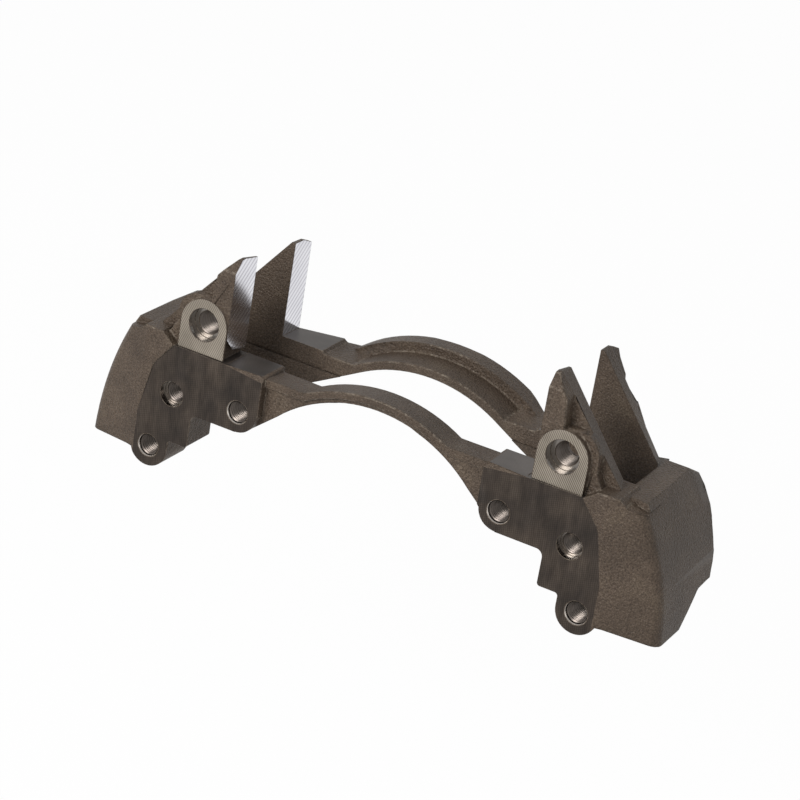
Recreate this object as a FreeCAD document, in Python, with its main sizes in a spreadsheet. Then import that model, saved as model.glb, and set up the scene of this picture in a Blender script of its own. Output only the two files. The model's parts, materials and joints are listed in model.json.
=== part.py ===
import FreeCAD, Part
import math
import os
import re
import Sketcher

# The bracket (carrier) of a heavy-vehicle air disc brake: one ductile-iron casting with machined faces.
# X runs across the vehicle-side face, Y runs outboard through the rotor slot, Z runs radially outward.
# The origin lies on the machined mounting face, midway between the two middle mounting holes.
# One half is modelled at X > 0 and mirrored. All sizes are in millimetres.

SIZES = [
    # Rotor, pad window and overall depths
    ("rotor_axis_drop", 70.3),
    ("pad_window_half", 125.0),
    ("plate_depth", 31.5),
    ("rotor_slot_width", 53.5),
    ("rotor_edge_radius", 219.5),
    ("end_wall", 16.5),
    # Mounting holes and their bosses
    ("middle_hole_across", 162.8),
    ("inner_hole_across", 106.7),
    ("inner_hole_height", 5.0),
    ("inner_boss_radius", 15.2),
    ("inner_boss_meeting", 48.7),
    ("flange_inner_edge", 90.0),
    ("lower_hole_across", 177.2),
    ("lower_hole_height", -46.5),
    ("lower_boss_radius", 16.0),
    ("thread_bore", 14.0),
    ("thread_chamfer_width", 18.0),
    ("sleeve_bore", 19.6),
    ("sleeve_bore_depth", 7.0),
    # Guide pin hole, pad and rim
    ("guide_hole_inset", 19.6),
    ("guide_hole_height", 60.5),
    ("guide_counterbore", 25.0),
    ("guide_counterbore_depth", 8.0),
    ("guide_thread_bore", 16.0),
    ("guide_pad_radius", 19.4),
    ("guide_pad_recess", 1.5),
    ("guide_rim_wall", 5.2),
    ("guide_rim_recess", 6.2),
    ("guide_rim_top", 20.0),
    ("guide_rim_round", 16.0),
    ("guide_rim_foot", 6.6),
    # Machined flange outline
    ("flange_top", 38.2),
    ("flange_top_end", 166.0),
    ("flange_shoulder_across", 181.0),
    ("flange_shoulder_height", 19.0),
    ("flange_shoulder_round", 16.0),
    ("flange_foot_across", 197.0),
    ("flange_foot_height", -52.5),
    ("notch_across", 144.6),
    ("notch_top", -10.5),
    ("notch_bottom", -37.3),
    ("notch_fillet", 5.5),
    # Inboard horn
    ("horn_top", 115.0),
    ("horn_rear_drop", 3.0),
    ("horn_plate_recess", 3.0),
    ("horn_plate_top_width", 15.0),
    ("horn_plate_root_width", 17.0),
    ("horn_root_height", 80.0),
    ("panel_recess", 14.0),
    ("horn_tip_width", 2.9),
    ("web_foot_width", 62.7),
    ("web_foot_height", 44.5),
    ("web_taper_run", 6.5),
    ("horn_tip_bevel_rise", 9.0),
    ("horn_tip_bevel_depth", 7.0),
    ("bed", 1.0),
    ("overlap_run", 5.0),
    # Inboard abutment and arch
    ("abutment_floor", 37.5),
    ("undercut_depth", 3.0),
    ("milled_foot_front", 55.0),
    ("milled_foot_middle", 44.5),
    ("milled_foot_back", 41.0),
    ("bevel_depth", 4.8),
    ("bevel_rise", 7.0),
    ("hub_arch_radius", 111.6),
    ("arch_web_recess", 7.5),
    ("arch_rib_recess", 4.5),
    ("arch_rib_base", 29.5),
    ("arch_rib_height", 6.5),
    ("arch_rib_inner_radius", 115.3),
    ("arch_rib_outer_radius", 121.0),
    ("arch_back", 30.0),
    ("arch_draft", 2.0),
    ("arch_end_across", 78.0),
    # End block over the rotor edge
    ("block_top", 44.0),
    ("block_bottom", -56.5),
    ("block_ledge_top", 41.0),
    ("block_ledge_end_drop", 3.5),
    ("block_front_proud", 1.6),
    ("block_front_break", 190.0),
    ("block_front_slope", 0.29),
    ("ridge_round", 9.0),
    ("block_back", 107.0),
    ("block_back_top", 90.0),
    ("block_back_lean", 3.0),
    ("block_back_drop", 7.0),
    ("block_back_bottom", 101.0),
    ("block_rear_underside", -36.0),
    ("block_rear_cut_start", 50.0),
    ("block_rear_cut_end", 79.0),
    ("block_top_draft", 6.0),
    ("block_draft_foot", 5.0),
    ("ledge_rim_top", 46.0),
    ("ledge_end_across", 191.5),
    ("ledge_step", 5.0),
    ("cut_overrun", 16.0),
    ("mill_step", 0.8),
    # Outboard wall, arch and horn
    ("outboard_floor", 34.3),
    ("outboard_arch_floor", 32.0),
    ("outboard_arch_radius", 113.3),
    ("outboard_arch_lip", 6.7),
    ("outboard_arch_angle", 28.8),
    ("outboard_arch_back", 127.0),
    ("outboard_rim_front", 111.0),
    ("outboard_rim_height", 8.0),
    ("outboard_back_flat", 62.0),
    ("outboard_horn_back", 109.5),
    ("outboard_web_depth", 12.0),
    ("outboard_web_taper", 4.5),
    ("outboard_tip_height", 108.5),
    ("outboard_web_width", 58.4),
    ("outboard_web_foot_height", 40.5),
    ("ear_tip", 6.5),
    ("ear_tip_drop", 10.5),
    ("ear_upper", 13.0),
    ("ear_upper_height", 87.0),
    ("ear_neck", 14.5),
    ("ear_neck_height", 76.0),
    ("ear_lower", 27.0),
    ("ear_lower_height", 68.5),
    ("ear_foot_inset", 12.0),
    ("outboard_mill_line", 19.4),
    # Cast and milled roundings
    ("block_edge_fillet", 5.0),
    ("cast_fillet", 2.5),
]

SIZE_NAMES = {name for name, value in SIZES}
FULL_TURN = 2.0 * math.pi


def make_sheet(doc):
    """Write the driving sizes into a spreadsheet, one named cell each."""
    sheet = doc.addObject("Spreadsheet::Sheet", "Sizes")
    for row, (name, value) in enumerate(SIZES, start=1):
        sheet.set("A%d" % row, name)
        sheet.set("B%d" % row, str(value))
        sheet.setAlias("B%d" % row, name)
    doc.recompute()
    return sheet


def bound(text):
    """Turn plain size names into references to the sheet's cells."""
    text = str(text)
    return re.sub(r"[a-z_]+", lambda m: "Sizes." + m.group() if m.group() in SIZE_NAMES else m.group(), text)


class Half:
    """The half casting: a body whose features are added one after another."""

    def __init__(self, doc, name):
        self.doc = doc
        self.body = doc.addObject("PartDesign::Body", name)
        self.body.Label = name

    def value(self, text):
        """The present value of an expression of the sheet's sizes."""
        result = self.body.evalExpression(bound(text))
        return float(getattr(result, "Value", result))

    def plane(self, role):
        for feature in self.body.Origin.OriginFeatures:
            if feature.Role == role:
                return feature
        raise ValueError("no origin plane named " + role)

    def sketch(self, name, role, offset):
        """An empty sketch parallel to an origin plane, moved along the plane's normal."""
        sketch = self.body.newObject("Sketcher::SketchObject", name)
        sketch.AttachmentSupport = [(self.plane(role), "")]
        sketch.MapMode = "FlatFace"
        sketch.setExpression(".AttachmentOffset.Base.z", bound(offset))
        return sketch

    def drive(self, sketch, kind, *args):
        """Add a constraint whose last argument is an expression, and bind it."""
        text = args[-1]
        index = sketch.addConstraint(Sketcher.Constraint(kind, *args[:-1], self.value(text)))
        sketch.setExpression("Constraints[%d]" % index, bound(text))

    def outline(self, sketch, corners, centre="-rotor_axis_drop"):
        """Close an outline through corners.

        Each corner is (across, up) or (across, up, rounding), in expressions. A corner may carry a
        fourth entry, the radius of an arc about the rotor axis that leads to the next corner. Where
        one coordinate of an arc's end is None, the arc gives it.
        """
        count = len(corners)
        rounding = [corner[2] if len(corner) > 2 else None for corner in corners]
        arcs = [corner[3] if len(corner) > 3 else None for corner in corners]
        middle = FreeCAD.Vector(0, self.value(centre), 0)
        points = []
        for i, corner in enumerate(corners):
            radius = arcs[i] or arcs[i - 1]
            across = None if corner[0] is None else self.value(corner[0])
            up = None if corner[1] is None else self.value(corner[1])
            if across is None:
                across = math.sqrt(self.value(radius) ** 2 - (up - middle.y) ** 2)
            if up is None:
                up = middle.y + math.sqrt(self.value(radius) ** 2 - across ** 2)
            points.append(FreeCAD.Vector(across, up, 0))
        trims = []
        for i in range(count):
            if rounding[i] is None:
                trims.append(None)
                continue
            back = (points[i - 1] - points[i]).normalize()
            ahead = (points[(i + 1) % count] - points[i]).normalize()
            half_angle = back.getAngle(ahead) / 2.0
            reach = self.value(rounding[i]) / math.tan(half_angle)
            trims.append((back * reach, ahead * reach, half_angle))
        sides = []
        for i in range(count):
            start = points[i] + (trims[i][1] if trims[i] else FreeCAD.Vector())
            j = (i + 1) % count
            end = points[j] + (trims[j][0] if trims[j] else FreeCAD.Vector())
            if arcs[i] is None:
                sides.append((sketch.addGeometry(Part.LineSegment(start, end), False), 1, 2))
                continue
            circle = Part.Circle(middle, FreeCAD.Vector(0, 0, 1), self.value(arcs[i]))
            first = math.atan2(start.y - middle.y, start.x - middle.x)
            last = math.atan2(end.y - middle.y, end.x - middle.x)
            if first < last:
                sides.append((sketch.addGeometry(Part.ArcOfCircle(circle, first, last), False), 1, 2))
            else:
                sides.append((sketch.addGeometry(Part.ArcOfCircle(circle, last, first), False), 2, 1))
        for i in range(count):
            if arcs[i] is None:
                continue
            side = sides[i][0]
            sketch.addConstraint(Sketcher.Constraint("PointOnObject", side, 3, -2))
            self.drive(sketch, "DistanceY", side, 3, centre)
            self.drive(sketch, "Radius", side, arcs[i])
        for i in range(count):
            before, here = sides[i - 1], sides[i]
            if trims[i] is None:
                sketch.addConstraint(Sketcher.Constraint("Coincident", before[0], before[2], here[0], here[1]))
                held, spot = here[0], here[1]
            else:
                held, spot = self.round_corner(sketch, points[i], trims[i], before, here, rounding[i])
            across, up = corners[i][0], corners[i][1]
            if across is not None and self.value(across) == 0.0:
                sketch.addConstraint(Sketcher.Constraint("PointOnObject", held, spot, -2))
            elif across is not None:
                self.drive(sketch, "DistanceX", held, spot, across)
            if up is not None:
                self.drive(sketch, "DistanceY", held, spot, up)
        return sketch

    def round_corner(self, sketch, point, trim, before, here, radius):
        """Join two lines by a tangent arc and keep their corner as a construction point."""
        back, ahead, half_angle = trim
        turn = (back * -1).cross(ahead).z
        middle = point + (back + ahead).normalize() * (self.value(radius) / math.sin(half_angle))
        first = math.atan2(*reversed(tuple(point + back - middle)[:2]))
        last = math.atan2(*reversed(tuple(point + ahead - middle)[:2]))
        if turn < 0:
            first, last = last, first
        if last < first:
            last += FULL_TURN
        circle = Part.Circle(middle, FreeCAD.Vector(0, 0, 1), self.value(radius))
        arc = sketch.addGeometry(Part.ArcOfCircle(circle, first, last), False)
        enter, leave = (1, 2) if turn > 0 else (2, 1)
        corner = sketch.addGeometry(Part.Point(point), True)
        sketch.addConstraint(Sketcher.Constraint("Tangent", before[0], before[2], arc, enter))
        sketch.addConstraint(Sketcher.Constraint("Tangent", here[0], here[1], arc, leave))
        sketch.addConstraint(Sketcher.Constraint("PointOnObject", corner, 1, before[0]))
        sketch.addConstraint(Sketcher.Constraint("PointOnObject", corner, 1, here[0]))
        self.drive(sketch, "Radius", arc, radius)
        return corner, 1

    def circle(self, sketch, across, up, radius):
        """A circle at a driven place."""
        middle = FreeCAD.Vector(self.value(across), self.value(up), 0)
        ring = sketch.addGeometry(Part.Circle(middle, FreeCAD.Vector(0, 0, 1), self.value(radius)), False)
        self.drive(sketch, "DistanceX", ring, 3, across)
        if self.value(up) == 0.0:
            sketch.addConstraint(Sketcher.Constraint("PointOnObject", ring, 3, -1))
        else:
            self.drive(sketch, "DistanceY", ring, 3, up)
        self.drive(sketch, "Radius", ring, radius)
        return sketch

    def finish(self, feature, grows):
        """Recompute, and see that the feature added or removed material as it should."""
        before = self.volume
        self.doc.recompute()
        self.volume = feature.Shape.Volume
        if (self.volume > before) != grows:
            raise ValueError(feature.Name + " changed nothing")
        return feature

    volume = 0.0

    def pad(self, sketch, start, end, backwards=True):
        """Grow an outline from one depth to another."""
        feature = self.body.newObject("PartDesign::Pad", sketch.Name + "_pad")
        feature.Profile = sketch
        feature.setExpression("Length", bound("(%s) - (%s)" % (end, start)))
        feature.Reversed = backwards
        return self.finish(feature, True)

    def slab(self, name, start, end, corners):
        """Grow a front-view outline between two depths along Y."""
        sketch = self.sketch(name, "XZ_Plane", "-(%s)" % start)
        return self.pad(self.outline(sketch, corners), start, end)

    def disc(self, name, start, end, across, up, radius):
        """Grow a front-view circle between two depths along Y."""
        sketch = self.sketch(name, "XZ_Plane", "-(%s)" % start)
        return self.pad(self.circle(sketch, across, up, radius), start, end)

    def cut(self, name, role, start, length, corners, backwards=False):
        """Remove an outline's prism."""
        sketch = self.outline(self.sketch(name, role, start), corners)
        feature = self.body.newObject("PartDesign::Pocket", name + "_cut")
        feature.Profile = sketch
        feature.setExpression("Length", bound(length))
        feature.Reversed = backwards
        return self.finish(feature, False)

    def loft(self, name, role, sections, grows=True):
        """Join two or more outlines by ruled faces, as added or removed material."""
        kind = "PartDesign::AdditiveLoft" if grows else "PartDesign::SubtractiveLoft"
        sketches = []
        for i, (offset, corners) in enumerate(sections):
            sketches.append(self.outline(self.sketch("%s_%d" % (name, i + 1), role, offset), corners))
        feature = self.body.newObject(kind, name)
        feature.Profile = sketches[0]
        feature.Sections = sketches[1:]
        feature.Ruled = True
        return self.finish(feature, grows)

    def bore(self, name, start, across, up, diameter, mouth, mouth_depth, kind):
        """Drill a hole along +Y from a machined face, with a counterbore or countersink at its mouth."""
        sketch = self.sketch(name, "XZ_Plane", "-(%s)" % start)
        self.circle(sketch, across, up, "(%s) / 2" % diameter)
        self.doc.recompute()
        feature = self.body.newObject("PartDesign::Hole", name + "_hole")
        feature.Profile = sketch
        self.doc.recompute()
        feature.Threaded = False
        feature.ThreadType = "None"
        feature.DepthType = "Dimension"
        feature.DrillPoint = "Flat"
        feature.setExpression("Depth", bound("plate_depth + end_wall"))
        feature.setExpression("Diameter", bound(diameter))
        feature.HoleCutType = kind
        feature.HoleCutCustomValues = True
        feature.setExpression("HoleCutDiameter", bound(mouth))
        if kind == "Counterbore":
            feature.setExpression("HoleCutDepth", bound(mouth_depth))
        else:
            feature.HoleCutCountersinkAngle = 90.0
        return self.finish(feature, False)

    def edges(self, feature, chosen):
        """Names of the edges that a test picks by their middle point and shape."""
        names = []
        for i, edge in enumerate(feature.Shape.Edges, start=1):
            first, last = edge.ParameterRange
            middle = edge.valueAt((first + last) / 2.0)
            if chosen(edge, middle):
                names.append("Edge%d" % i)
        return names

    def fillet(self, name, base, radius, chosen):
        """Round the chosen edges of the latest feature."""
        names = self.edges(base, chosen)
        if not names:
            raise ValueError(name + " found no edge")
        feature = self.body.newObject("PartDesign::Fillet", name)
        feature.Base = (base, names)
        feature.setExpression("Radius", bound(radius))
        self.doc.recompute()
        self.volume = feature.Shape.Volume
        return feature


SLOT_BACK = "plate_depth + rotor_slot_width"
GUIDE_HOLE_ACROSS = "(pad_window_half + guide_hole_inset)"
WEB_TIP_ACROSS = "(pad_window_half + horn_tip_width)"
WEB_FOOT_ACROSS = "(pad_window_half + web_foot_width)"
OUTBOARD_WEB_FOOT = "(pad_window_half + outboard_web_width)"
OUTER_RADIUS = "rotor_edge_radius + end_wall"
REACH = OUTER_RADIUS + " + cut_overrun"
FLANGE_INNER = "flange_inner_edge"


def flange(half):
    """The machined mounting plate with its inner and lower bosses and the notch between them."""
    half.slab("flange", "0", "plate_depth", [
        (FLANGE_INNER, "abutment_floor", "cast_fillet"),
        ("flange_top_end", "flange_top"),
        ("flange_shoulder_across", "flange_shoulder_height", "flange_shoulder_round"),
        ("flange_foot_across", "flange_foot_height"),
        ("lower_hole_across", "flange_foot_height"),
        ("lower_hole_across - lower_boss_radius", "lower_hole_height"),
        ("lower_hole_across - lower_boss_radius", "notch_bottom", "cast_fillet"),
        ("notch_across", "notch_bottom", "cast_fillet"),
        ("notch_across", "notch_top", "notch_fillet"),
        ("inner_hole_across", "notch_top"),
        (FLANGE_INNER, "inner_hole_height"),
    ])
    half.disc("inner_boss", "0", "plate_depth", "inner_hole_across", "inner_hole_height", "inner_boss_radius")
    half.disc("lower_boss", "0", "plate_depth", "lower_hole_across", "lower_hole_height", "lower_boss_radius")


def guide_boss(half):
    """The cast rim and the milled pad around the guide pin hole."""
    rim_end = GUIDE_HOLE_ACROSS + " + guide_pad_radius + guide_rim_wall"
    half.slab("guide_rim", "guide_rim_recess", "panel_recess + bed", [
        ("pad_window_half + undercut_depth", "abutment_floor - cast_fillet"),
        (rim_end + " + guide_rim_foot", "abutment_floor - cast_fillet"),
        (rim_end + " + guide_rim_foot", "block_top"),
        (rim_end, "guide_hole_height - ledge_step"),
        (rim_end, "guide_hole_height + guide_rim_top", "guide_rim_round"),
        ("pad_window_half + undercut_depth", "guide_hole_height + guide_rim_top"),
    ])
    half.slab("guide_pad_root", "guide_pad_recess", "guide_rim_recess + cast_fillet", [
        (GUIDE_HOLE_ACROSS + " - guide_pad_radius", "flange_top"),
        (GUIDE_HOLE_ACROSS + " + guide_pad_radius", "flange_top"),
        (GUIDE_HOLE_ACROSS + " + guide_pad_radius", "guide_hole_height"),
        (GUIDE_HOLE_ACROSS + " - guide_pad_radius", "guide_hole_height"),
    ])
    half.disc("guide_pad", "guide_pad_recess", "guide_rim_recess + cast_fillet", GUIDE_HOLE_ACROSS,
              "guide_hole_height", "guide_pad_radius")


def inboard_horn(half):
    """The horn that guides the inboard pad: a milled front plate with a tapered web beside it."""
    half.slab("horn_plate", "horn_plate_recess", "panel_recess + bed", [
        ("pad_window_half", "flange_top"),
        ("pad_window_half + horn_plate_root_width", "flange_top"),
        ("pad_window_half + horn_plate_root_width", "horn_root_height"),
        ("pad_window_half + horn_plate_top_width", web_height("(pad_window_half + horn_plate_top_width)"),
         "cast_fillet"),
        (WEB_TIP_ACROSS, "horn_top"),
        ("pad_window_half", "horn_top"),
    ])
    half.loft("horn_web", "XZ_Plane", [
        ("-panel_recess", [
            ("pad_window_half - bed", "horn_top"),
            (WEB_TIP_ACROSS, "horn_top"),
            (WEB_FOOT_ACROSS, "web_foot_height"),
            (WEB_FOOT_ACROSS, "flange_shoulder_height"),
            ("pad_window_half - bed", "flange_shoulder_height"),
        ]),
        ("-plate_depth", [
            ("pad_window_half - bed", "horn_top - horn_rear_drop"),
            (WEB_TIP_ACROSS + " - bed", "horn_top - horn_rear_drop"),
            (WEB_FOOT_ACROSS + " - web_taper_run", "web_foot_height"),
            (WEB_FOOT_ACROSS + " - web_taper_run", "flange_shoulder_height"),
            ("pad_window_half - bed", "flange_shoulder_height"),
        ]),
    ])


def web_height(across):
    """Height of the inboard web's sloping outer face at a place across."""
    slope = "(horn_top - web_foot_height) / (%s - %s)" % (WEB_FOOT_ACROSS, WEB_TIP_ACROSS)
    return "horn_top - (%s - %s) * %s" % (across, WEB_TIP_ACROSS, slope)


def horn_faces(half):
    """The milled pad face of the inboard horn, and the cast bevel at its tip."""
    half.cut("pad_window", "XZ_Plane", "0", "plate_depth + cut_overrun", [
        ("pad_window_half - cut_overrun", "abutment_floor + bed"),
        ("pad_window_half", "abutment_floor + bed"),
        ("pad_window_half", "horn_top + cut_overrun"),
        ("pad_window_half - cut_overrun", "horn_top + cut_overrun"),
    ])
    half.cut("horn_tip", "YZ_Plane", "pad_window_half - bed", "horn_plate_root_width + 2 * bed", [
        ("horn_plate_recess - bed", "horn_top - horn_tip_bevel_rise"),
        ("horn_plate_recess", "horn_top - horn_tip_bevel_rise"),
        ("horn_plate_recess + horn_tip_bevel_depth", "horn_top - bed / 2"),
        ("panel_recess + bed", "horn_top"),
        ("plate_depth + bed", "horn_top - horn_rear_drop"),
        ("plate_depth + bed", "horn_top + cut_overrun"),
        ("horn_plate_recess - bed", "horn_top + cut_overrun"),
    ], backwards=True)


def end_block(half):
    """The bridge over the rotor edge, with the cast front face and its stepped top."""
    half.slab("end_front", "-block_front_proud", "plate_depth", [
        ("flange_top_end", "flange_top"),
        ("flange_top_end + 2 * ledge_step", "ledge_rim_top"),
        ("ledge_end_across", "ledge_rim_top"),
        ("ledge_end_across + ledge_step", "block_ledge_top"),
        (None, "block_ledge_top - block_ledge_end_drop", None, OUTER_RADIUS),
        (None, "block_bottom"),
        ("flange_foot_across", "flange_foot_height"),
        ("flange_shoulder_across", "flange_shoulder_height", "flange_shoulder_round"),
    ])
    half.cut("front_slope", "XY_Plane", "block_top + cut_overrun", "block_top + 2 * cut_overrun - block_bottom", [
        ("flange_top_end", "-block_front_proud"),
        ("block_front_break", "0"),
        (REACH, "(%s - block_front_break) * block_front_slope" % REACH),
        (REACH, "-2 * block_front_proud"),
        ("flange_top_end", "-2 * block_front_proud"),
    ])
    half.fillet("front_ridge", half.body.Tip, "ridge_round", lambda edge, middle: (
        edge.Length > half.value("block_top") and abs(math.hypot(
            middle.x, middle.z + half.value("rotor_axis_drop")) - half.value(OUTER_RADIUS)) < 0.5
        and middle.y < half.value("panel_recess")))
    half.slab("end_ring", "plate_depth - bed", "block_back", ring_sector("block_bottom"))
    half.slab("end_top", "panel_recess", "plate_depth", ring_sector("flange_top"))
    half.loft("top_draft", "XZ_Plane", [
        ("-panel_recess", draft_corner("0")),
        ("-(block_back + cut_overrun)", draft_corner("block_top_draft")),
    ], grows=False)


def ring_sector(foot):
    """The bridge's section over the rotor edge, from a height up to its top."""
    return [
        (None, foot, None, OUTER_RADIUS),
        (None, "block_top"),
        (None, "block_top", None, "rotor_edge_radius"),
        (None, foot),
    ]


def ring_across(up):
    """Place across of the bridge's outer wall at a height."""
    return "sqrt((%s)^2 - (%s + rotor_axis_drop)^2)" % (OUTER_RADIUS, up)


def draft_corner(inward):
    """The outer top corner that the draft takes off the bridge, more of it toward the far side."""
    return [
        (ring_across("block_top") + " + 2 * bed - " + inward, "block_top + bed"),
        (ring_across("block_draft_foot") + " + 2 * bed", "block_draft_foot"),
        (REACH, "block_draft_foot"),
        (REACH, "block_top + bed"),
    ]


def rear_faces(half):
    """The far side of the bridge: its stepped underside and its drafted top and foot."""
    half.cut("rear_underside", "YZ_Plane", "flange_shoulder_across", REACH + " - flange_shoulder_across", [
        ("block_rear_cut_start", "block_bottom"),
        ("block_rear_cut_end", "block_rear_underside", "block_edge_fillet"),
        ("block_back + cut_overrun", "block_rear_underside"),
        ("block_back + cut_overrun", "block_bottom - cut_overrun"),
        ("block_rear_cut_start", "block_bottom - cut_overrun"),
    ], backwards=True)
    half.cut("rear_top", "YZ_Plane", OUTBOARD_WEB_FOOT, REACH + " - " + OUTBOARD_WEB_FOOT, [
        ("block_back_top", "block_top"),
        ("block_back - block_back_lean", "block_top - block_back_drop"),
        ("block_back", "block_top - cut_overrun"),
        ("block_back + cut_overrun", "block_top - cut_overrun"),
        ("block_back + cut_overrun", "block_top + cut_overrun"),
        ("block_back_top", "block_top + cut_overrun"),
    ], backwards=True)
    half.cut("rear_foot", "YZ_Plane", OUTBOARD_WEB_FOOT, REACH + " - " + OUTBOARD_WEB_FOOT, [
        ("block_back", "-cut_overrun"),
        ("block_back_bottom", "block_rear_underside"),
        ("block_back_bottom", "block_rear_underside - cut_overrun"),
        ("block_back + cut_overrun", "block_rear_underside - cut_overrun"),
        ("block_back + cut_overrun", "-cut_overrun"),
    ], backwards=True)


def inboard_arch(half):
    """The tie under the inboard pad window: a recessed web below a rib that rises over the hub."""
    inside = "inner_hole_across - overlap_run"
    rib_top = "arch_rib_base + arch_rib_height"
    web_top = rib_top + " - 2 * bed"

    def web(depth, draft):
        under = "hub_arch_radius + " + draft
        return ("-(%s)" % depth, [
            ("0", None, None, under),
            ("arch_end_across", None),
            ("inner_hole_across - inner_boss_radius * cos(inner_boss_meeting)",
             "inner_hole_height - inner_boss_radius * sin(inner_boss_meeting)"),
            (inside, "inner_hole_height"),
            (inside, web_top + " - " + draft),
            (None, web_top + " - " + draft, None, "arch_rib_outer_radius - 2 * bed - " + draft),
            ("0", None),
        ])

    def rib(depth, draft):
        return ("-(%s)" % depth, [
            ("0", None, None, "arch_rib_inner_radius"),
            (None, "arch_rib_base"),
            (inside, "arch_rib_base"),
            (inside, rib_top + " - " + draft),
            (None, rib_top + " - " + draft, None, "arch_rib_outer_radius - " + draft),
            ("0", None),
        ])

    half.loft("arch_web", "XZ_Plane", [web("arch_web_recess", "0"), web("arch_back", "arch_draft")])
    half.loft("arch_rib", "XZ_Plane", [rib("arch_rib_recess", "0"), rib("arch_back", "arch_draft")])


def abutment(half):
    """The cast bevel above the milled face, and the cutter's undercut at the root of the horn."""
    half.loft("abutment_bevel", "YZ_Plane", [
        (FLANGE_INNER + " - overlap_run", [
            ("-bevel_rise / 2", "abutment_floor - bevel_rise * 1.2"),
            ("bevel_depth", "abutment_floor + bed"),
            ("-bevel_rise / 2", "abutment_floor + bed"),
        ]),
        ("pad_window_half - cast_fillet", [
            ("-bevel_rise / 2", "abutment_floor - bevel_rise / 2"),
            ("bed", "abutment_floor + bed"),
            ("-bevel_rise / 2", "abutment_floor + bed"),
        ]),
    ], grows=False)
    half.cut("undercut", "YZ_Plane", "pad_window_half - undercut_depth", "2 * undercut_depth", [
        ("horn_plate_recess", "abutment_floor"),
        ("horn_plate_recess", "milled_foot_front"),
        ("panel_recess - bed", "milled_foot_middle"),
        ("plate_depth + bed", "milled_foot_back"),
        ("plate_depth + bed", "abutment_floor"),
    ], backwards=True)


def outboard_line(across):
    """Height of the outboard wall's straight lower edge at a place across."""
    slope = "tan(outboard_arch_angle)"
    start_across = "outboard_arch_radius * sin(outboard_arch_angle)"
    start_up = "outboard_arch_radius * cos(outboard_arch_angle) - rotor_axis_drop"
    return "%s - (%s - %s) * %s" % (start_up, across, start_across, slope)


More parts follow.
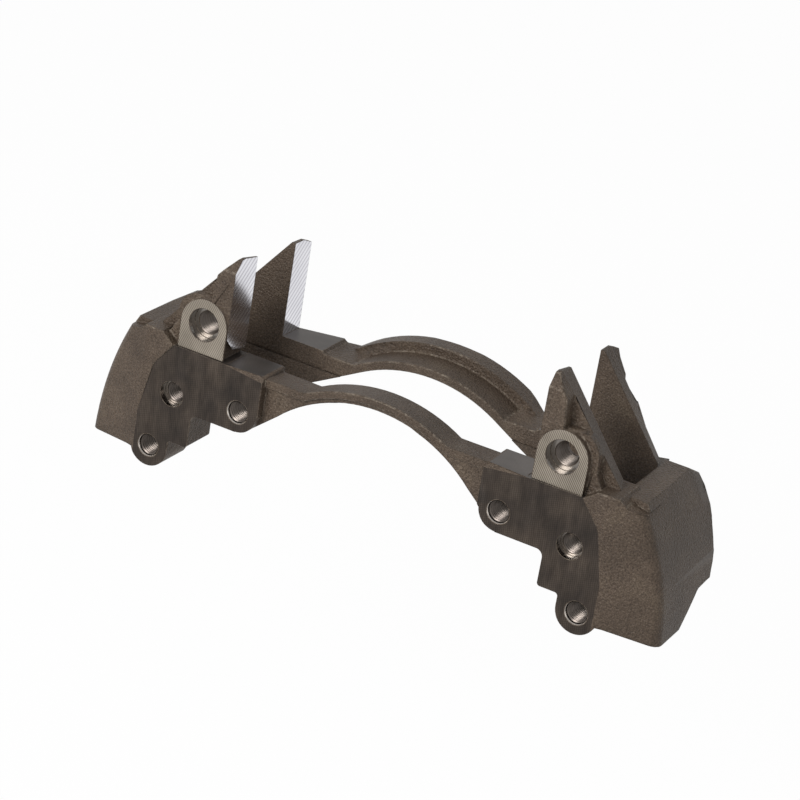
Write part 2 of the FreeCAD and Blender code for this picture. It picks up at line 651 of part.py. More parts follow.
def outboard_side(half):
    """The outboard wall: pad floor, hub arch with its upstanding rim, and the horn behind the slot."""
    lip_radius = "outboard_arch_radius + outboard_arch_lip"
    root = "pad_window_half + horn_plate_root_width"
    knee = ("outboard_arch_radius * sin(outboard_arch_angle) + (outboard_arch_radius * "
            "cos(outboard_arch_angle) - rotor_axis_drop - block_rear_underside) / tan(outboard_arch_angle)")
    half.slab("outboard_wall", SLOT_BACK, "block_back", [
        ("pad_window_half - end_wall", outboard_line("(pad_window_half - end_wall)")),
        (knee, "block_rear_underside"),
        ("rotor_edge_radius + cast_fillet", "block_rear_underside"),
        ("rotor_edge_radius + cast_fillet", "0"),
        (OUTBOARD_WEB_FOOT + " + end_wall", "outboard_web_foot_height"),
        ("pad_window_half - end_wall", "outboard_web_foot_height - end_wall"),
    ])
    half.slab("outboard_floor_slab", SLOT_BACK, "outboard_arch_back", [
        ("0", None, None, "outboard_arch_radius"),
        ("outboard_arch_radius * sin(outboard_arch_angle)", None),
        (root, outboard_line("(%s)" % root)),
        (root, "outboard_floor"),
        (FLANGE_INNER, "outboard_floor"),
        (FLANGE_INNER + " - cast_fillet", "outboard_arch_floor"),
        (None, "outboard_arch_floor", None, lip_radius),
        ("0", None),
    ])
    half.slab("outboard_rim", "outboard_rim_front", "outboard_arch_back", [
        ("0", None, None, "outboard_arch_radius + bed"),
        (None, "outboard_arch_floor - overlap_run"),
        (None, "outboard_arch_floor - overlap_run", None, lip_radius + " + outboard_rim_height"),
        ("0", None),
    ])
    web_back = SLOT_BACK + " + outboard_web_depth"
    half.loft("outboard_web", "XZ_Plane", [
        ("-(%s)" % SLOT_BACK, [
            ("pad_window_half - bed", "outboard_tip_height + bed"),
            ("pad_window_half + cast_fillet", "outboard_tip_height + bed"),
            (OUTBOARD_WEB_FOOT, "outboard_web_foot_height"),
            (OUTBOARD_WEB_FOOT, "outboard_floor - overlap_run"),
            ("pad_window_half - bed", "outboard_floor - overlap_run"),
        ]),
        ("-(%s)" % web_back, [
            ("pad_window_half - bed", "outboard_tip_height + bed"),
            ("pad_window_half + 2 * bed", "outboard_tip_height + bed"),
            (OUTBOARD_WEB_FOOT + " - outboard_web_taper", "outboard_web_foot_height"),
            (OUTBOARD_WEB_FOOT + " - outboard_web_taper", "outboard_floor - overlap_run"),
            ("pad_window_half - bed", "outboard_floor - overlap_run"),
        ]),
    ])
    half.slab("outboard_horn_plate", web_back + " - bed", "outboard_horn_back", [
        ("pad_window_half - bed", "outboard_tip_height + bed"),
        ("pad_window_half + 2 * bed", "outboard_tip_height + bed"),
        ("pad_window_half + ear_tip", "outboard_tip_height - ear_tip_drop"),
        ("pad_window_half + ear_upper", "ear_upper_height", "cast_fillet"),
        ("pad_window_half + ear_neck", "ear_neck_height", "cast_fillet"),
        ("pad_window_half + ear_lower", "ear_lower_height", "cast_fillet"),
        (OUTBOARD_WEB_FOOT + " - ear_foot_inset", "outboard_floor + bed"),
        (OUTBOARD_WEB_FOOT + " - ear_foot_inset", "outboard_floor - overlap_run"),
        ("pad_window_half - bed", "outboard_floor - overlap_run"),
    ])
    half.cut("outboard_window", "XZ_Plane", "-(%s - bed)" % SLOT_BACK,
             "outboard_arch_back - (%s) + 2 * bed" % SLOT_BACK, [
                 ("pad_window_half - cut_overrun", "outboard_floor"),
                 ("pad_window_half", "outboard_floor"),
                 ("pad_window_half", "outboard_tip_height + cut_overrun"),
                 ("pad_window_half - cut_overrun", "outboard_tip_height + cut_overrun"),
             ])
    half.cut("outboard_tip", "YZ_Plane", "pad_window_half - bed", "horn_plate_root_width", [
        (SLOT_BACK + " - bed", "outboard_tip_height"),
        (web_back, "outboard_tip_height"),
        ("outboard_horn_back + bed", "outboard_tip_height - overlap_run"),
        ("outboard_horn_back + bed", "outboard_tip_height + cut_overrun"),
        (SLOT_BACK + " - bed", "outboard_tip_height + cut_overrun"),
    ], backwards=True)
    half.slab("outboard_cast_land", SLOT_BACK + " - mill_step", SLOT_BACK + " + bed", [
        (outboard_across("outboard_mill_line"), "outboard_mill_line"),
        (knee, "block_rear_underside"),
        ("rotor_edge_radius + cast_fillet", "block_rear_underside"),
        ("flange_foot_across + overlap_run", "outboard_mill_line"),
    ])
    half.cut("outboard_plan", "XY_Plane", "outboard_tip_height + cut_overrun",
             "outboard_tip_height + 2 * cut_overrun - block_bottom", [
                 ("outboard_back_flat", "outboard_arch_back"),
                 ("pad_window_half", "outboard_horn_back"),
                 ("rotor_edge_radius + 2 * cut_overrun", "outboard_horn_back"),
                 ("rotor_edge_radius + 2 * cut_overrun", "outboard_arch_back + cut_overrun"),
                 ("outboard_back_flat", "outboard_arch_back + cut_overrun"),
             ])


def outboard_across(up):
    """Place across of the outboard wall's straight lower edge at a height."""
    return ("outboard_arch_radius * sin(outboard_arch_angle) + (outboard_arch_radius * "
            "cos(outboard_arch_angle) - rotor_axis_drop - %s) / tan(outboard_arch_angle)" % up)


def holes(half):
    """The tapped mounting holes and the stepped guide pin hole."""
    half.bore("middle", "0", "middle_hole_across", "0", "thread_bore", "sleeve_bore", "sleeve_bore_depth",
              "Counterbore")
    half.bore("inner", "0", "inner_hole_across", "inner_hole_height", "thread_bore", "thread_chamfer_width",
              None, "Countersink")
    half.bore("lower", "0", "lower_hole_across", "lower_hole_height", "thread_bore", "thread_chamfer_width",
              None, "Countersink")
    return half.bore("guide", "guide_pad_recess", GUIDE_HOLE_ACROSS, "guide_hole_height",
                     "guide_thread_bore", "guide_counterbore", "guide_counterbore_depth", "Counterbore")


def build(doc):
    half = Half(doc, "bracket_casting")
    flange(half)
    guide_boss(half)
    inboard_horn(half)
    end_block(half)
    inboard_arch(half)
    horn_faces(half)
    abutment(half)
    outboard_side(half)
    rear_faces(half)
    holes(half)
    return half


def mirror(half):
    """Mirror the whole half across the middle plane."""
    feature = half.body.newObject("PartDesign::Mirrored", "other_half")
    feature.TransformMode = "Whole shape"
    feature.MirrorPlane = (half.plane("YZ_Plane"), [""])
    half.body.Tip = feature
    half.doc.recompute()
    return feature


def check(doc, body):
    """Stop if any feature failed or the finished solid is not a sound one."""
    failed = [obj.Name for obj in doc.Objects if {"Invalid", "Error"} & set(obj.State)]
    if failed:
        raise ValueError("failed features: " + ", ".join(failed))
    shape = body.Shape
    if shape.isNull() or not shape.isValid() or len(shape.Solids) != 1:
        raise ValueError(body.Label + " is not one sound solid")


def main():
    os.makedirs("parts", exist_ok=True)
    doc = FreeCAD.newDocument("bracket")
    make_sheet(doc)
    half = build(doc)
    mirror(half)
    check(doc, half.body)
    shape = half.body.Shape
    shape.exportStep("parts/%s.step" % half.body.Label)
    box = shape.BoundBox
    print("volume %.0f mm3, faces %d" % (shape.Volume, len(shape.Faces)))
    print("box %.1f %.1f %.1f to %.1f %.1f %.1f" % (box.XMin, box.YMin, box.ZMin, box.XMax, box.YMax, box.ZMax))


main()
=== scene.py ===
# %% [markdown]
# # The carrier of an air disc brake
# A carrier is one iron casting. It bolts to the axle by its milled face, stands astride the brake
# rotor and holds both pads between its horns. Its form comes from the CAD model. This lesson
# dresses it: rounded cast edges, sand-cast skin, milled faces and cut threads.

import json
import math

import bmesh
import bpy
from mathutils import Matrix, Vector
from mathutils.kdtree import KDTree

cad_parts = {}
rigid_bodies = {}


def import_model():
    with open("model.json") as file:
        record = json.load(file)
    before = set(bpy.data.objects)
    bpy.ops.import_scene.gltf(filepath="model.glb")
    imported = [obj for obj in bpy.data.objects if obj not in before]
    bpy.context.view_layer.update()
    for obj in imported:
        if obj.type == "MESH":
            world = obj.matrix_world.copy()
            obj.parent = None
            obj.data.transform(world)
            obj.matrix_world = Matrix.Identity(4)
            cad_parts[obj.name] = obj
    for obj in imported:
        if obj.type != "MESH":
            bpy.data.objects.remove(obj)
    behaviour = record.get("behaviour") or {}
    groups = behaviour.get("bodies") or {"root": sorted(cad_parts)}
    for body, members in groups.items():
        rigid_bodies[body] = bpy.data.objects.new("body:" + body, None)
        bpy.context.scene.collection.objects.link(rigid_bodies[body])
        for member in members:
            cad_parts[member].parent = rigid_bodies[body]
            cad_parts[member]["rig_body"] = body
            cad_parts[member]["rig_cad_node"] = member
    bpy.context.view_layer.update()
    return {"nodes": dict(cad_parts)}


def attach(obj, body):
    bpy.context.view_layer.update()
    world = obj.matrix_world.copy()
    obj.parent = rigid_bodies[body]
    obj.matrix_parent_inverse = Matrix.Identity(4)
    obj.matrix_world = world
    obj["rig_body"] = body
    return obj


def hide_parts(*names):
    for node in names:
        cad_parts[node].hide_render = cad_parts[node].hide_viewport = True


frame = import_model()
casting_node = frame["nodes"]["bracket_casting"]

# %% [markdown]
# ## Sizes
# Blender works in metres, and a foundry drawing in millimetres, so every size is written in
# millimetres and turned once. Each hole has its place across and up, the radius and depth at which
# its tapped part begins, and the radius at the root of its thread.

# %% Millimetres and hole places
MM = 0.001
HOLES = (
    (162.8, 0.0, 7.0, 7.0, 8.0),
    (106.7, 5.0, 7.0, 2.0, 8.0),
    (177.2, -46.5, 7.0, 2.0, 8.0),
    (144.6, 60.5, 8.0, 9.5, 9.0),
)
HOLE_NAMES = ("middle", "inner", "lower", "guide")
PAD_WINDOW_HALF = 125.0
GUIDE_PAD_RECESS = 1.5
PLATE_DEPTH = 31.5
SIDES = (("right", 1.0), ("left", -1.0))


def deselect():
    """Nothing is selected, so the next operator acts only on what is picked here."""
    for thing in bpy.context.selected_objects:
        thing.select_set(False)


def pick(thing):
    """Make one object the selected and active one."""
    deselect()
    bpy.context.view_layer.objects.active = thing
    thing.select_set(True)


# %% [markdown]
# ## Colours and nodes
# A colour is written as it looks on a screen, as an sRGB hex value. Blender's shaders want linear
# light, so one function turns it. A second one adds a node, its settings and its links.

# %% Helpers for materials
def linear(text):
    """The linear RGBA of an sRGB hex value."""
    parts = [int(text[i:i + 2], 16) / 255.0 for i in (1, 3, 5)]
    return [c / 12.92 if c <= 0.04045 else ((c + 0.055) / 1.055) ** 2.4 for c in parts] + [1.0]


def per_mm(size):
    """A texture scale whose features are about this many millimetres wide."""
    return 1000.0 / size


def add(tree, kind, links=None, values=None, **settings):
    """Add a node, set its settings and input values, and link its inputs."""
    made = tree.nodes.new(kind)
    for name, value in settings.items():
        setattr(made, name, value)
    for name, value in (values or {}).items():
        made.inputs[name].default_value = value
    for name, source in (links or {}).items():
        tree.links.new(source, made.inputs[name])
    return made


def start_material(name):
    """An empty material and its tree, with the object coordinates that its patterns read."""
    material = bpy.data.materials.new(name)
    material.use_nodes = True
    tree = material.node_tree
    tree.nodes.clear()
    place = add(tree, "ShaderNodeTexCoord").outputs["Object"]
    return material, tree, place


def ramp(tree, factor, stops):
    """A colour ramp through (position, hex) stops."""
    made = add(tree, "ShaderNodeValToRGB", {"Fac": factor})
    elements = made.color_ramp.elements
    while len(elements) < len(stops):
        elements.new(0.5)
    for element, (position, text) in zip(elements, stops):
        element.position = position
        element.color = linear(text)
    return made.outputs["Color"]


def close_material(tree, shader):
    """Send a shader to the material's output."""
    add(tree, "ShaderNodeOutputMaterial", {"Surface": shader.outputs["BSDF"]})


# %% [markdown]
# ## Sand-cast ductile iron, oiled
# Green-sand moulding leaves a pebbled skin, and shot blasting and oil turn it a warm brown grey. The
# eye sees fine grain, slow changes of tone and a soft oily sheen. The skin could be sculpted, but
# noise and bump nodes give it at no cost in faces. The real grain of about half a millimetre is
# finer than a pixel from here, so it is drawn about twice as coarse. The bevel node softens the
# shading over each edge, because a mould's real rounding is larger than this mesh can take. Handling
# leaves bright nicks on the proud edges, so the rounded edges get a second version with worn spots.

# %% Cast skin
SOFT_EDGE = 2.0


def cast_skin(name, wear):
    """Cast iron skin, with a share of bright worn spots from 0 to 1."""
    material, tree, place = start_material(name)
    grain = add(tree, "ShaderNodeTexNoise", {"Vector": place},
                {"Scale": per_mm(1.15), "Detail": 2.0, "Roughness": 0.6})
    pebble = add(tree, "ShaderNodeTexVoronoi", {"Vector": place}, {"Scale": per_mm(1.6)},
                 feature="SMOOTH_F1")
    blotch = add(tree, "ShaderNodeTexNoise", {"Vector": place},
                 {"Scale": per_mm(30.0), "Detail": 4.0, "Roughness": 0.55})
    tone = ramp(tree, blotch.outputs["Fac"], [(0.30, "#4d4238"), (0.55, "#594d42"), (0.75, "#64584b")])
    speck = ramp(tree, grain.outputs["Fac"], [(0.32, "#969089"), (0.50, "#cdc7c0"), (0.68, "#ffffff")])
    colour = add(tree, "ShaderNodeMix", {6: tone, 7: speck}, {0: 0.85}, data_type="RGBA",
                 blend_type="MULTIPLY").outputs[2]
    if wear:
        nick = add(tree, "ShaderNodeTexNoise", {"Vector": place},
                   {"Scale": per_mm(3.2), "Detail": 4.0, "Roughness": 0.7})
        worn = add(tree, "ShaderNodeMapRange", {"Value": nick.outputs["Fac"]},
                   {"From Min": 0.46, "From Max": 0.66, "To Max": wear})
        colour = add(tree, "ShaderNodeMix", {0: worn.outputs["Result"], 6: colour},
                     {7: linear("#a89d8e")}, data_type="RGBA").outputs[2]
    height = add(tree, "ShaderNodeMath", {0: grain.outputs["Fac"], 1: pebble.outputs["Distance"]},
                 operation="ADD")
    soft = add(tree, "ShaderNodeBevel", None, {"Radius": SOFT_EDGE * MM}, samples=6)
    fine = add(tree, "ShaderNodeBump",
               {"Height": height.outputs["Value"], "Normal": soft.outputs["Normal"]},
               {"Strength": 1.0, "Distance": 0.70 * MM})
    wave = add(tree, "ShaderNodeBump", {"Height": blotch.outputs["Fac"], "Normal": fine.outputs["Normal"]},
               {"Strength": 0.6, "Distance": 1.5 * MM})
    shader = add(tree, "ShaderNodeBsdfPrincipled",
                 {"Base Color": colour, "Normal": wave.outputs["Normal"]},
                 {"Metallic": 0.1, "Roughness": 0.5, "Specular IOR Level": 0.24})
    close_material(tree, shader)
    return material


# %% [markdown]
# ## Milled iron
# A face mill leaves fine marks that run in straight bands. Oiled, a milled face is a dark grey with
# a brown cast, and a freshly cut pad face is bright. The smoother the cut, the more it mirrors its
# surroundings, so the roughness falls from the mounting face to the pad faces. Wave textures draw
# the marks, because their bands can be set in millimetres. The real marks are about half a
# millimetre apart, so they are drawn three to eight times as coarse.

# %% Milled finishes
def band_scale(spacing):
    """The scale of a wave texture whose bands are this many millimetres apart."""
    return math.pi / 10.0 / (spacing * MM)


def milled(name, dark, light, roughness, metallic, cuts, wobble=0.6, smear=0.0):
    """Milled iron. Each cut is its turn, the spacing and depth of its marks and its darkest tone.

    wobble bends the marks, and smear is the share of oil stains, from 0 to 1.
    """
    material, tree, place = start_material(name)
    blotch = add(tree, "ShaderNodeTexNoise", {"Vector": place},
                 {"Scale": per_mm(24.0), "Detail": 3.0, "Roughness": 0.5})
    colour = ramp(tree, blotch.outputs["Fac"], [(0.30, dark), (0.72, light)])
    if smear:
        stretched = add(tree, "ShaderNodeMapping", {"Vector": place}, {"Scale": (1.0, 1.0, 0.25)})
        stain = add(tree, "ShaderNodeTexNoise", {"Vector": stretched.outputs["Vector"]},
                    {"Scale": per_mm(7.0), "Detail": 5.0, "Roughness": 0.65})
        stains = ramp(tree, stain.outputs["Fac"], [(0.34, "#aca6a1"), (0.66, "#ffffff")])
        colour = add(tree, "ShaderNodeMix", {6: colour, 7: stains}, {0: smear}, data_type="RGBA",
                     blend_type="MULTIPLY").outputs[2]
    normal = None
    for turn, spacing, depth, shade in cuts:
        turned = add(tree, "ShaderNodeMapping", {"Vector": place},
                     {"Rotation": [math.radians(angle) for angle in turn]})
        marks = add(tree, "ShaderNodeTexWave", {"Vector": turned.outputs["Vector"]},
                    {"Scale": band_scale(spacing), "Distortion": wobble, "Detail": 2.0,
                     "Detail Scale": 0.6}, bands_direction="X")
        stripe = ramp(tree, marks.outputs["Fac"], [(0.0, shade), (0.55, "#ffffff")])
        colour = add(tree, "ShaderNodeMix", {6: colour, 7: stripe}, {0: 1.0}, data_type="RGBA",
                     blend_type="MULTIPLY").outputs[2]
        links = {"Height": marks.outputs["Fac"]}
        if normal:
            links["Normal"] = normal
        bump = add(tree, "ShaderNodeBump", links, {"Strength": 0.4, "Distance": depth * MM})
        normal = bump.outputs["Normal"]
    shader = add(tree, "ShaderNodeBsdfPrincipled", {"Base Color": colour, "Normal": normal},
                 {"Metallic": metallic, "Roughness": roughness})
    close_material(tree, shader)
    return material


SKIN = cast_skin("ductile_iron_sand_cast_oiled", 0.0)
EDGE = cast_skin("ductile_iron_edge_worn", 0.32)

# Oiled mounting face: dark, with a brown cast, stains and crossed marks.
FLANGE_MILLED = milled("iron_face_milled_oiled", "#352e29", "#52483f", 0.42, 0.6,
                       [((0, 4, 0), 1.5, 0.04, "#d0ccc8"), ((0, -74, 0), 1.5, 0.03, "#e2e0de")], 3.0, 0.9)

# Spot-faced guide pads: a lighter grey with clear slanting grooves.
PAD_MILLED = milled("iron_spot_faced", "#867e73", "#a0978b", 0.36, 0.8,
                    [((0, 38, 0), 1.5, 0.08, "#948e86")], 0.2)

# Freshly milled horns: nearly a mirror, white where it meets the sky.
HORN_MILLED = milled("iron_milled_bright", "#d9d9de", "#e6e6ea", 0.13, 1.0,
                     [((50, 0, 90), 4.0, 0.006, "#d4d2d6")], 0.6)

# The ledges between the horns are dark and half dull, and the bores and threads catch bright rings. The
# threads' colour is darkened further as painted shade for the inside of the bore.
FLOOR_MILLED = milled("iron_milled_floor", "#3a3531", "#514a45", 0.40, 0.6,
                      [((0, 0, 90), 1.8, 0.05, "#d8d8d8")])
BORE_MILLED = milled("iron_bored", "#8b8580", "#aaa49d", 0.22, 1.0,
                     [((0, 0, 90), 1.2, 0.03, "#c4c4c4")])
# Cut threads: the dark base colour is painted shade deep in the bore, darker than the iron's own tone.
THREAD_CUT_SHADED = milled("iron_thread_cut_painted_shade", "#4a4440", "#655e58", 0.32, 0.95,
                    [((0, 0, 90), 1.2, 0.02, "#e0e0e0")])
FINISHES = [SKIN, FLANGE_MILLED, PAD_MILLED, HORN_MILLED, FLOOR_MILLED, BORE_MILLED, THREAD_CUT_SHADED, EDGE]
print("finishes", [finish.name for finish in FINISHES])

# %% [markdown]
# ## The casting
# The CAD mesh comes in as loose triangles. The casting could be modelled anew, but a copy keeps every
# size of the drawing. It is merged and its flat faces are dissolved to single faces, so that a bevel
# can follow its real edges. The CAD node then hides behind the copy.

# %% Copy and merge the CAD mesh
MERGE_GAP = 0.002
FLAT_ENOUGH = math.radians(0.4)

casting = casting_node.copy()
casting.data = casting_node.data.copy()
casting.name = "casting_dressed"
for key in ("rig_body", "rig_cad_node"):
    del casting[key]
casting.parent = None
bpy.context.scene.collection.objects.link(casting)
pick(casting)
bpy.ops.object.mode_set(mode="EDIT")
bpy.ops.mesh.select_all(action="SELECT")
bpy.ops.mesh.remove_doubles(threshold=MERGE_GAP * MM)
bpy.ops.mesh.dissolve_limited(angle_limit=FLAT_ENOUGH)
bpy.ops.object.mode_set(mode="OBJECT")
print("casting", len(casting.data.vertices), "points", len(casting.data.polygons), "faces")

# %% [markdown]
# ## Which faces are milled
# Every machined face lies in a plane or a bore whose place is known from the drawing. Faces could be
# picked by hand, but there are hundreds of them, and sorting them by normal and place gives the same
# result each run. Each gets the slot of its finish.

# %% Sort the faces
casting.data.materials.clear()
for finish in FINISHES:
    casting.data.materials.append(finish)
SKIN_SLOT, FLANGE_SLOT, PAD_SLOT, HORN_SLOT, FLOOR_SLOT, BORE_SLOT, THREAD_SLOT, EDGE_SLOT = range(8)
HOLE_REACH = 12.8
MOUTH = -0.1
THREAD_START = 0.5
INSIDE_PLATE = (3.0, PLATE_DEPTH - 1.0)
WALL_LEAN = 0.1
CONE_LEAN = 0.9
SQUARE = 0.999
CLOSE = 0.05
TAP_MARGIN = 0.6
HORN_FOOT = 37.0
LEDGE_UP = (34.0, 38.5)
LEDGE_ACROSS = (85.0, PAD_WINDOW_HALF + 4.0)


def finish_of(centre, normal):
    """The slot of the finish that a face has, from its centre in millimetres and its normal."""
    across, out, up = abs(centre.x), centre.y, centre.z
    for hole_across, hole_up, _, tap_depth, _ in HOLES:
        if math.hypot(across - hole_across, up - hole_up) >= HOLE_REACH:
            continue
        if out > tap_depth + THREAD_START and abs(normal.y) < WALL_LEAN:
            return THREAD_SLOT
        if out > MOUTH and abs(normal.y) < CONE_LEAN:
            return BORE_SLOT
        if INSIDE_PLATE[0] < out < INSIDE_PLATE[1]:
            return BORE_SLOT
    if normal.y < -SQUARE and abs(out) < CLOSE:
        return FLANGE_SLOT
    if normal.y < -SQUARE and abs(out - GUIDE_PAD_RECESS) < CLOSE:
        return PAD_SLOT
    if abs(normal.x) > SQUARE and abs(across - PAD_WINDOW_HALF) < CLOSE and up > HORN_FOOT:
        return HORN_SLOT
    on_ledge = LEDGE_UP[0] < up < LEDGE_UP[1] and LEDGE_ACROSS[0] < across < LEDGE_ACROSS[1]
    if normal.z > SQUARE and on_ledge:
        return FLOOR_SLOT
    return SKIN_SLOT


def sort_faces(thing):
    """Give each face the slot of its finish."""
    for face in thing.data.polygons:
        face.material_index = finish_of(face.center / MM, face.normal)


def open_bores(thing):
    """Widen each tapped bore from the tips of its thread to the roots, where the thread will stand."""
    for point in thing.data.vertices:
        for hole_across, hole_up, tap_radius, tap_depth, root_radius in HOLES:
            side = math.copysign(hole_across, point.co.x)
            off = Vector((point.co.x / MM - side, point.co.z / MM - hole_up))
            if abs(off.length - tap_radius) < CLOSE and point.co.y / MM > tap_depth - TAP_MARGIN:
                wide = off.normalized() * root_radius
                point.co.x = (side + wide.x) * MM
                point.co.z = (hole_up + wide.y) * MM


open_bores(casting)
sort_faces(casting)
print("milled faces", sum(face.material_index > 0 for face in casting.data.polygons))

# %% [markdown]
# ## Rounded edges
# A cast edge is rounded by its mould and a milled one is broken with a file. Each edge could be
# rounded by hand, but a bevel modifier does both kinds at once, with the width of each edge in its
# bevel weight. Where there is little room beside an edge, its width is a share of that room, so that
# two roundings don't cross. The few corners that a bevel still throws too far are brought back.

# %% Bevel
CAST_ROUND = 1.0
MILLED_BREAK = 0.3
SHARP = math.radians(28.0)
ALONG = math.radians(25.0)
NEEDLE = math.radians(45.0)
SHARE = 0.25
SPOT_SPACING = 0.3
STRAY = 1.35
SAME_PLACE = 0.01
SMOOTH_CAST = math.radians(32.0)


def room_beside(edge):
    """The distance that a bevel could run before it meets the far side of a face, or a corner."""
    start, end = edge.verts[0].co, edge.verts[1].co
    along = (end - start).normalized()
    room = math.inf
    for face in edge.link_faces:
        offsets = [point.co - start for point in face.verts]
        room = min(room, max((offset - along * offset.dot(along)).length for offset in offsets))
    for point in edge.verts:
        for other in point.link_edges:
            way = (other.verts[1].co - other.verts[0].co).normalized()
            if abs(way.dot(along)) < math.cos(ALONG):
                room = min(room, other.calc_length())
        if any(loop.calc_angle() < NEEDLE for loop in point.link_loops):
            return 0.0
    return room


def weigh_edges(thing):
    """Write the bevel weight of every sharp edge, smaller where there is little room beside it."""
    shape = bmesh.new()
    shape.from_mesh(thing.data)
    weights = shape.edges.layers.float.new("bevel_weight_edge")
    for edge in shape.edges:
        if len(edge.link_faces) != 2 or edge.calc_face_angle(0.0) < SHARP:
            continue
        cast = all(face.material_index == SKIN_SLOT for face in edge.link_faces)
        width = CAST_ROUND if cast else MILLED_BREAK
        edge[weights] = min(width, SHARE * room_beside(edge) / MM) / CAST_ROUND
    shape.to_mesh(thing.data)
    shape.free()


def sharp_spots(thing):
    """Points on every sharp edge, close together, in a tree that finds the nearest one."""
    shape = bmesh.new()
    shape.from_mesh(thing.data)
    spots = []
    for edge in shape.edges:
        if edge.calc_face_angle(0.0) < SHARP:
            continue
        count = int(edge.calc_length() / (SPOT_SPACING * MM)) + 1
        spots += [edge.verts[0].co.lerp(edge.verts[1].co, step / count) for step in range(count + 1)]
    shape.free()
    tree = KDTree(len(spots))
    for index, spot in enumerate(spots):
        tree.insert(spot, index)
    tree.balance()
    return tree


def settle_strays(thing, kept, tree):
    """Bring each new corner that the bevel threw too far back to the nearest old edge."""
    moved = 0
    for point in thing.data.vertices:
        spot, _, gap = tree.find(point.co)
        is_new = kept.find(point.co)[2] > SAME_PLACE * MM
        if gap > STRAY * CAST_ROUND * MM and is_new:
            point.co = spot
            moved += 1
    return moved


old_corners = KDTree(len(casting.data.vertices))
for corner in casting.data.vertices:
    old_corners.insert(corner.co, corner.index)
old_corners.balance()
edge_spots = sharp_spots(casting)
weigh_edges(casting)
pick(casting)
bevel = casting.modifiers.new("edges", "BEVEL")
bevel.limit_method = "WEIGHT"
bevel.width = CAST_ROUND * MM
bevel.segments = 3
bevel.use_clamp_overlap = False
bevel.material = EDGE_SLOT
bpy.ops.object.modifier_apply(modifier=bevel.name)
print("strays settled", settle_strays(casting, old_corners, edge_spots))
bpy.ops.object.shade_smooth_by_angle(angle=SMOOTH_CAST)
flats = casting.modifiers.new("flat faces stay flat", "WEIGHTED_NORMAL")
flats.keep_sharp = True
bpy.ops.object.modifier_apply(modifier=flats.name)
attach(casting, "root")
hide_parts("bracket_casting")
print("bevelled", len(casting.data.polygons), "faces")

# %% [markdown]
# ## Cut threads
# Six M16 threads take the bolts and two M18 ones take the guide pins. A bump texture could hint at a
# thread, but its ridges show their form where the light rakes down the bore. A tap leaves one ridge
# that winds down the bore, so a small trapezium is swept along a helix with the screw modifier. The
# CAD bore is cut to the tips of the thread, so the ridge adds nothing to the part's box.

# %% Threads
PITCH = 2.0
RIDGE_FOOT = 0.86
RIDGE_TIP = 0.16
BACK_MARGIN = 1.2
STEPS = 28
SEATED = 0.1
SMOOTH_THREAD = math.radians(30.0)


def thread(name, across, up, tip_radius, start, root_radius):
    """One right-hand thread from its first depth to near the back of the plate."""
    bpy.ops.mesh.primitive_plane_add(size=1.0, location=(0.0, 0.0, 0.0))
    ridge = bpy.context.active_object
    ridge.name = name
    first = start + RIDGE_FOOT
    seat = root_radius + SEATED
    corners = {(-1, -1): (tip_radius, first - RIDGE_TIP), (-1, 1): (tip_radius, first + RIDGE_TIP),
               (1, 1): (seat, first + RIDGE_FOOT), (1, -1): (seat, first - RIDGE_FOOT)}
    for point in ridge.data.vertices:
        radius, depth = corners[(round(math.copysign(1, point.co.x)), round(math.copysign(1, point.co.y)))]
        point.co = (radius * MM, depth * MM, 0.0)
    screw = ridge.modifiers.new("helix", "SCREW")
    screw.axis = "Y"
    screw.screw_offset = PITCH * MM
    screw.iterations = int((PLATE_DEPTH - BACK_MARGIN - first) / PITCH)
    screw.steps = STEPS
    screw.render_steps = STEPS
    pick(ridge)
    bpy.ops.object.modifier_apply(modifier=screw.name)
    bpy.ops.object.mode_set(mode="EDIT")
    bpy.ops.mesh.select_all(action="SELECT")
    bpy.ops.mesh.remove_doubles(threshold=SAME_PLACE * MM)
    bpy.ops.mesh.fill_holes(sides=4)
    bpy.ops.mesh.normals_make_consistent(inside=False)
    bpy.ops.object.mode_set(mode="OBJECT")
    ridge.location = (across * MM, 0.0, up * MM)
    bpy.ops.object.transform_apply(location=True, rotation=False, scale=False)
    bpy.ops.object.shade_smooth_by_angle(angle=SMOOTH_THREAD)
    ridge.data.materials.append(THREAD_CUT_SHADED)
    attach(ridge, "root")
    return ridge


threads = []
for hole_name, (hole_across, hole_up, tap_radius, tap_depth, root_radius) in zip(HOLE_NAMES, HOLES):
    for side_name, sign in SIDES:
        thread_name = "thread_%s_%s" % (hole_name, side_name)
        threads.append(thread(thread_name, sign * hole_across, hole_up, tap_radius, tap_depth, root_radius))
print("threads", len(threads), "faces in one", len(threads[0].data.polygons))

# %% [markdown]
# ## Studio
# The photograph is a product shot on white. The world and the floor could be lit until they clip,
# but that would wash the iron out. They show white to the camera and in reflections only, and light
# the part dimly. One large soft lamp stands in front, to the left and above, and two faint ones
# lift the shadows.

# %% World and floor
def seen_rays(tree):
    """One for the rays that look: straight from the camera, mirrored or let through."""
    path = add(tree, "ShaderNodeLightPath")
    camera_ray, mirror_ray, through_ray = (path.outputs["Is %s Ray" % kind]
                                           for kind in ("Camera", "Glossy", "Transmission"))
    either = add(tree, "ShaderNodeMath", {0: camera_ray, 1: mirror_ray}, operation="MAXIMUM")
    looking = add(tree, "ShaderNodeMath", {0: either.outputs["Value"], 1: through_ray}, operation="MAXIMUM")
    return looking.outputs["Value"]


world = bpy.data.worlds.new("studio")
bpy.context.scene.world = world
world.use_nodes = True
sky = world.node_tree
sky.nodes.clear()
strength = add(sky, "ShaderNodeMapRange", {"Value": seen_rays(sky)}, {"To Min": 0.33, "To Max": 1.0})
background = add(sky, "ShaderNodeBackground", {"Strength": strength.outputs["Result"]},
                 {"Color": (1.0, 1.0, 1.0, 1.0)})
add(sky, "ShaderNodeOutputWorld", {"Surface": background.outputs["Background"]})

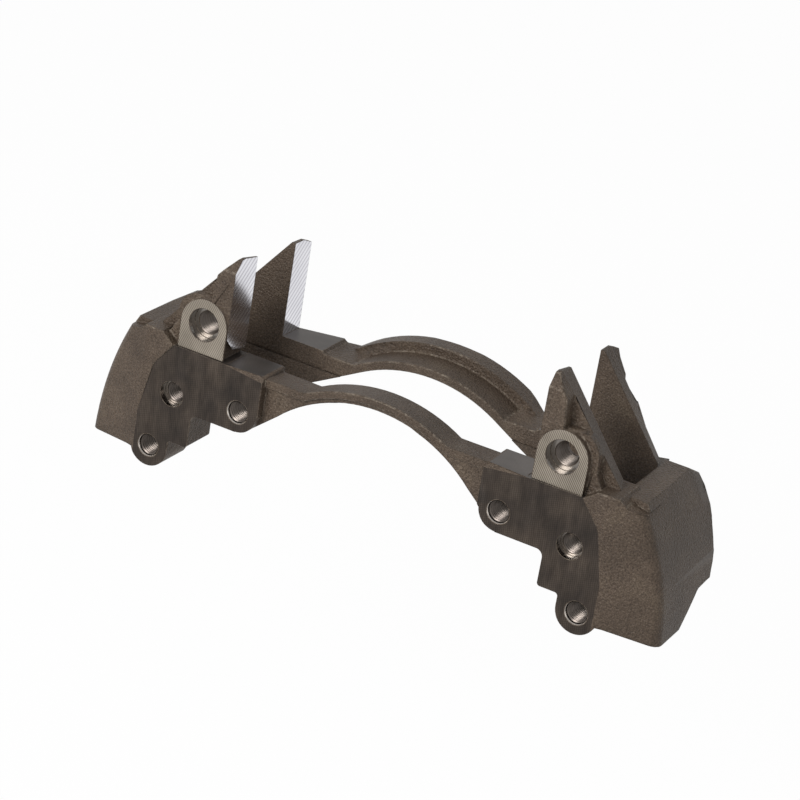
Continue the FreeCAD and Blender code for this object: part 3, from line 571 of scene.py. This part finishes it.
FLOOR_DROP = 320.0
bpy.ops.mesh.primitive_plane_add(size=14.0, location=(0.0, 0.0, -FLOOR_DROP * MM))
floor = bpy.context.active_object
floor.name = "studio_floor"
paper = bpy.data.materials.new("white_paper")
paper.use_nodes = True
sheet = paper.node_tree
sheet.nodes.clear()
share = add(sheet, "ShaderNodeMath", {0: seen_rays(sheet)}, {1: 0.97}, operation="MULTIPLY")
matt = add(sheet, "ShaderNodeBsdfDiffuse", None, {"Color": linear("#f4f4f4")})
glow = add(sheet, "ShaderNodeEmission", None, {"Color": (1.0, 1.0, 1.0, 1.0), "Strength": 1.0})
mixed = add(sheet, "ShaderNodeMixShader", {0: share.outputs["Value"], 1: matt.outputs["BSDF"],
                                           2: glow.outputs["Emission"]})
add(sheet, "ShaderNodeOutputMaterial", {"Surface": mixed.outputs["Shader"]})
floor.data.materials.append(paper)


# %% Lamps
def soft_lamp(name, place, aim, size, watts):
    """A square area lamp that points at a spot."""
    light = bpy.data.lights.new(name, "AREA")
    light.size = size
    light.energy = watts
    lamp = bpy.data.objects.new(name, light)
    bpy.context.scene.collection.objects.link(lamp)
    lamp.location = place
    lamp.rotation_euler = (Vector(aim) - Vector(place)).to_track_quat("-Z", "Y").to_euler()
    return lamp


soft_lamp("key", (-0.6, -2.1, 1.2), (0.0, 0.05, 0.0), 1.2, 64.0)
soft_lamp("fill", (1.9, -0.9, 0.3), (0.0, 0.05, 0.0), 1.4, 6.0)
soft_lamp("top", (-0.6, 0.5, 1.9), (-0.1, 0.05, 0.0), 1.2, 2.0)

# %% [markdown]
# ## Camera
# The lens and place were worked out from the eight holes, whose places on the milled face are
# known. A camera's matrix holds its right, up and back directions in its columns.

# %% Camera
RIGHT = (0.863915, 0.480050, 0.152326)
UP = (-0.318375, 0.286194, 0.903731)
BACK = (0.390241, -0.829244, 0.400083)
STAND = (731.22 * MM, -1513.10 * MM, 789.43 * MM)
camera = bpy.data.objects.new("camera", bpy.data.cameras.new("camera"))
bpy.context.scene.collection.objects.link(camera)
camera.matrix_world = Matrix([(RIGHT[i], UP[i], BACK[i], STAND[i]) for i in range(3)] + [(0, 0, 0, 1)])
camera.data.sensor_width = 36.0
camera.data.lens = 118.67
camera.data.clip_end = 50.0
bpy.context.scene.camera = camera
bpy.context.scene.view_settings.view_transform = "Standard"
